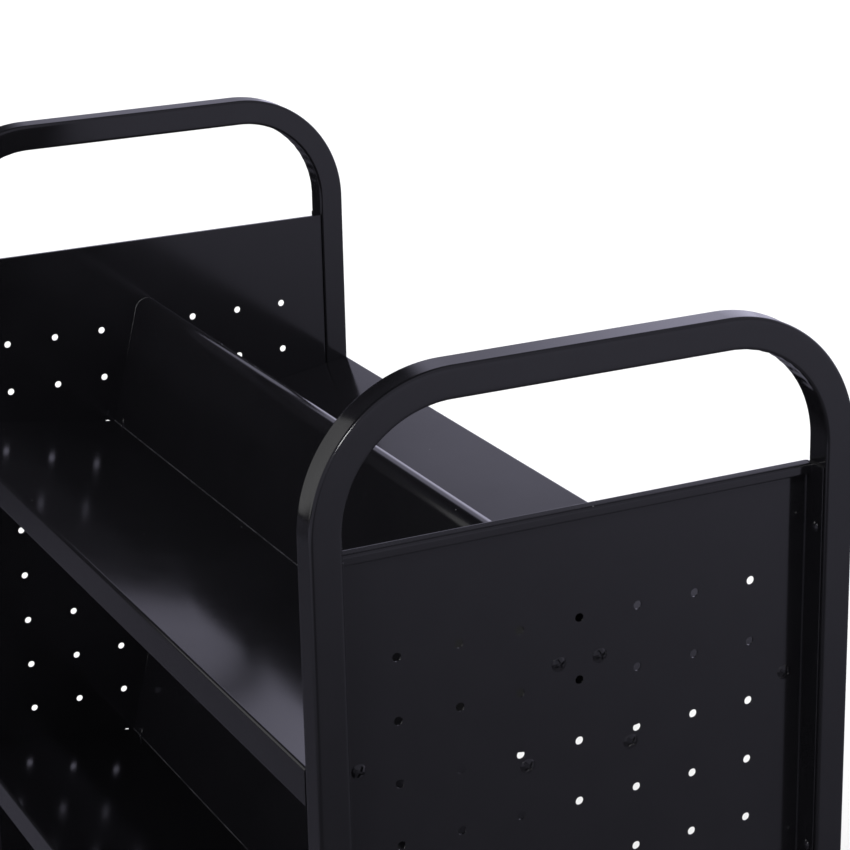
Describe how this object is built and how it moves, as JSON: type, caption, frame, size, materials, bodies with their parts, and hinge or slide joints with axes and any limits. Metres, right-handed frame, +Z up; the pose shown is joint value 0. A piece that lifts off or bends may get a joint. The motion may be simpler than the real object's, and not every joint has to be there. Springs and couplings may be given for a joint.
{
  "type": "double-sided book truck",
  "caption": "Steel library book truck: perforated end panels set in bent square-tube ends, W-shaped sloping shelves reached from both sides, handle loops and swivel casters.",
  "frame": {"origin": "on the floor, under the middle of the truck", "axes": "+X along the truck towards end A, the end with the wheel brakes; +Y across it; +Z up"},
  "size_m": [0.9968, 0.4844, 1.2],
  "materials": {
    "black_paint": "semi-gloss black powder coat",
    "black_fastener": "glossy black screw and rivet heads",
    "zinc": "bright zinc plate",
    "plug_plastic": "black moulded plastic",
    "hub_plastic": "dark moulded nylon",
    "tyre": "dull black rubber tread"
  },
  "bodies": {
    "chassis": {"frame_a": "black_paint", "frame_b": "black_paint", "panel_a": "black_paint", "panel_b": "black_paint", "panel_rivets_a": "black_fastener", "panel_rivets_b": "black_fastener", "shelf_top": "black_paint", "shelf_middle": "black_paint", "shelf_bottom": "black_paint", "shelf_screws_top": "black_fastener", "shelf_screws_middle": "black_fastener", "shelf_screws_bottom": "black_fastener", "shelf_nuts_top": "zinc", "shelf_nuts_middle": "zinc", "shelf_nuts_bottom": "zinc", "leg_plugs_a": "plug_plastic", "leg_plugs_b": "plug_plastic", "stem_al": "zinc", "stem_ar": "zinc", "stem_bl": "zinc", "stem_br": "zinc"},
    "caster_al": {"fork_al": "zinc", "axle_al": "zinc", "axle_nut_al": "zinc", "brake_pin_al": "zinc"},
    "wheel_al": {"hub_al": "hub_plastic", "tyre_al": "tyre"},
    "caster_ar": {"fork_ar": "zinc", "axle_ar": "zinc", "axle_nut_ar": "zinc", "brake_pin_ar": "zinc"},
    "wheel_ar": {"hub_ar": "hub_plastic", "tyre_ar": "tyre"},
    "caster_bl": {"fork_bl": "zinc", "axle_bl": "zinc", "axle_nut_bl": "zinc"},
    "wheel_bl": {"hub_bl": "hub_plastic", "tyre_bl": "tyre"},
    "caster_br": {"fork_br": "zinc", "axle_br": "zinc", "axle_nut_br": "zinc"},
    "wheel_br": {"hub_br": "hub_plastic", "tyre_br": "tyre"},
    "pedal_al": {"brake_al": "zinc"},
    "pedal_ar": {"brake_ar": "zinc"}
  },
  "joints": [
    {"name": "swivel_al", "type": "hinge", "parent": "chassis", "child": "caster_al", "pos_m": [0.4699, -0.2159, 0.14], "axis": [0, 0, 1], "continuous": true},
    {"name": "roll_al", "type": "hinge", "parent": "caster_al", "child": "wheel_al", "pos_m": [0.4349, -0.2159, 0.0635], "axis": [0, 1, 0], "continuous": true},
    {"name": "swivel_ar", "type": "hinge", "parent": "chassis", "child": "caster_ar", "pos_m": [0.4699, 0.2159, 0.14], "axis": [0, 0, 1], "continuous": true},
    {"name": "roll_ar", "type": "hinge", "parent": "caster_ar", "child": "wheel_ar", "pos_m": [0.4349, 0.2159, 0.0635], "axis": [0, 1, 0], "continuous": true},
    {"name": "swivel_bl", "type": "hinge", "parent": "chassis", "child": "caster_bl", "pos_m": [-0.4699, -0.2159, 0.14], "axis": [0, 0, 1], "continuous": true},
    {"name": "roll_bl", "type": "hinge", "parent": "caster_bl", "child": "wheel_bl", "pos_m": [-0.4349, -0.2159, 0.0635], "axis": [0, 1, 0], "continuous": true},
    {"name": "swivel_br", "type": "hinge", "parent": "chassis", "child": "caster_br", "pos_m": [-0.4699, 0.2159, 0.14], "axis": [0, 0, 1], "continuous": true},
    {"name": "roll_br", "type": "hinge", "parent": "caster_br", "child": "wheel_br", "pos_m": [-0.4349, 0.2159, 0.0635], "axis": [0, 1, 0], "continuous": true},
    {"name": "brake_al_press", "type": "hinge", "parent": "caster_al", "child": "pedal_al", "pos_m": [0.40227, -0.2159, 0.12486], "axis": [0, -1, 0], "range_deg": [0, 16]},
    {"name": "brake_ar_press", "type": "hinge", "parent": "caster_ar", "child": "pedal_ar", "pos_m": [0.40227, 0.2159, 0.12486], "axis": [0, -1, 0], "range_deg": [0, 16]}
  ]
}
